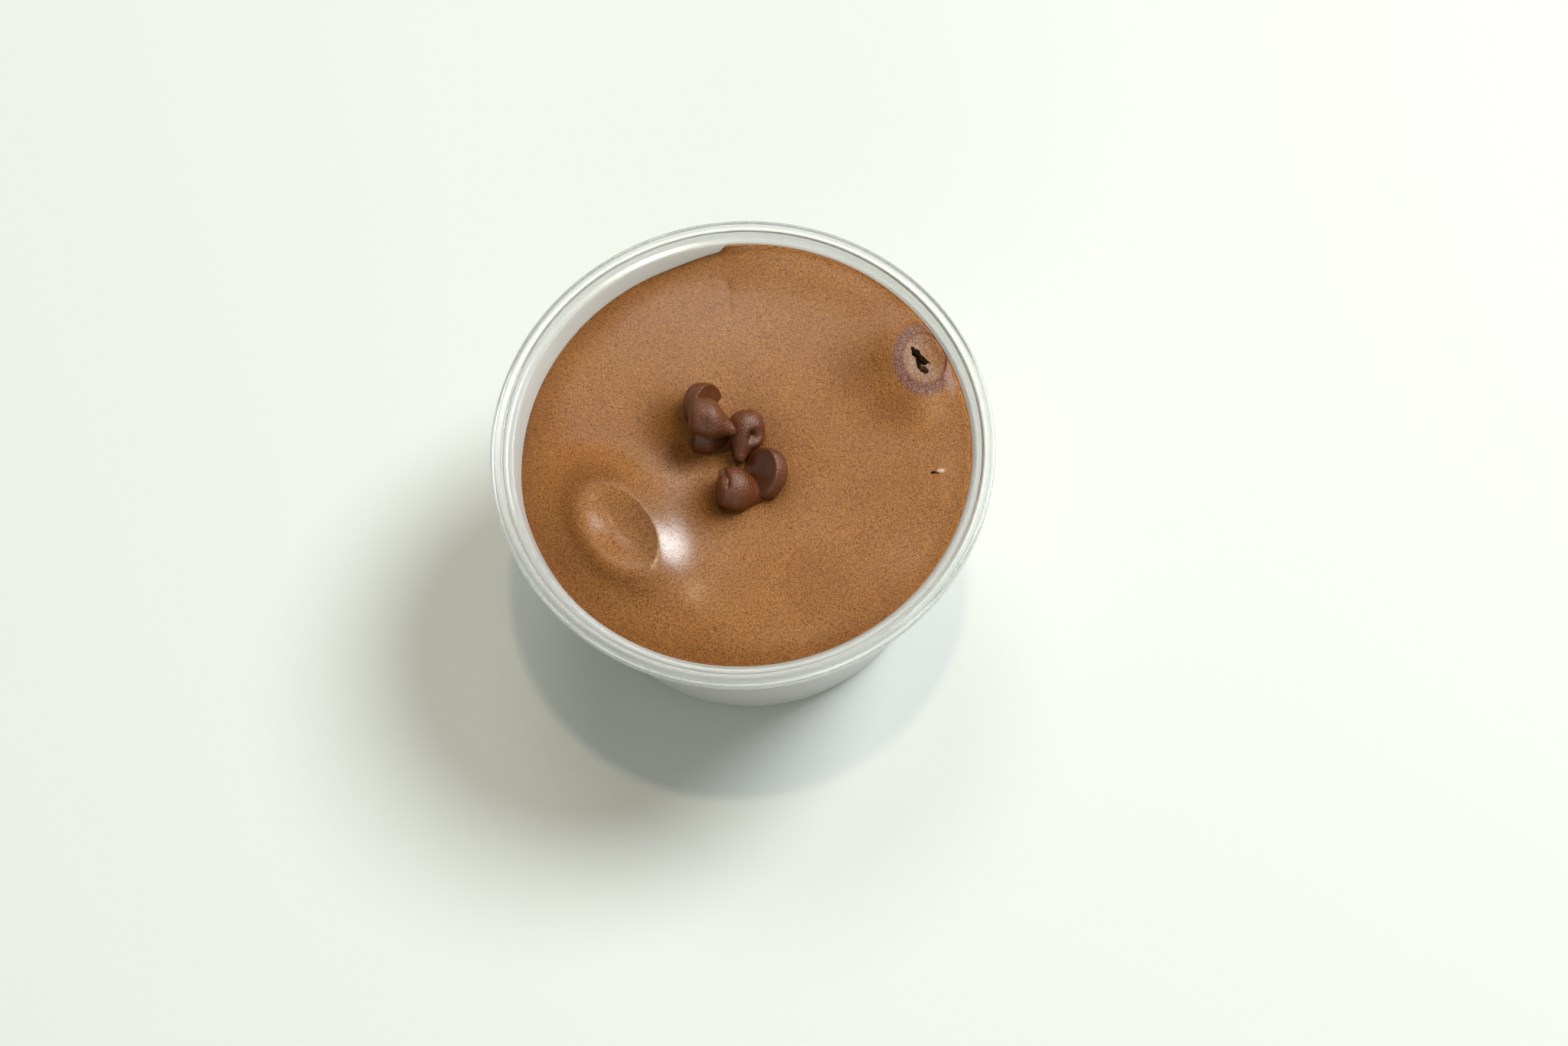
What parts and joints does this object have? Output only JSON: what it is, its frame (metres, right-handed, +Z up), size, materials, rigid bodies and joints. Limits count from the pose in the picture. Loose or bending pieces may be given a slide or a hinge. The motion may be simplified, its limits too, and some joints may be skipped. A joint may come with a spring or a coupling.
{
  "type": "chocolate mousse in a plastic cup",
  "caption": "Chocolate mousse set in a round, tapered, clear plastic cup with a flat flanged rim, topped with a loose pile of chocolate drops.",
  "frame": {"origin": "middle of the foot ring that the cup stands on, on the supporting surface", "axes": "+Z up along the cup's axis; the side it is served from is -Y, and +X is to the right of that"},
  "size_m": [0.095, 0.095, 0.0579],
  "materials": {
    "clear_plastic": "thin clear polypropylene, slightly milky, glossy",
    "mousse": "aerated milk chocolate mousse, fine-grained and satin",
    "chocolate": "solid chocolate, satin with a fine glossy speckle"
  },
  "bodies": {
    "root": {"cup": "clear_plastic", "mousse": "mousse", "drop_top": "chocolate", "drop_front": "chocolate", "drop_right": "chocolate", "drop_middle": "chocolate", "drop_back": "chocolate", "drop_under": "chocolate"}
  },
  "joints": []
}
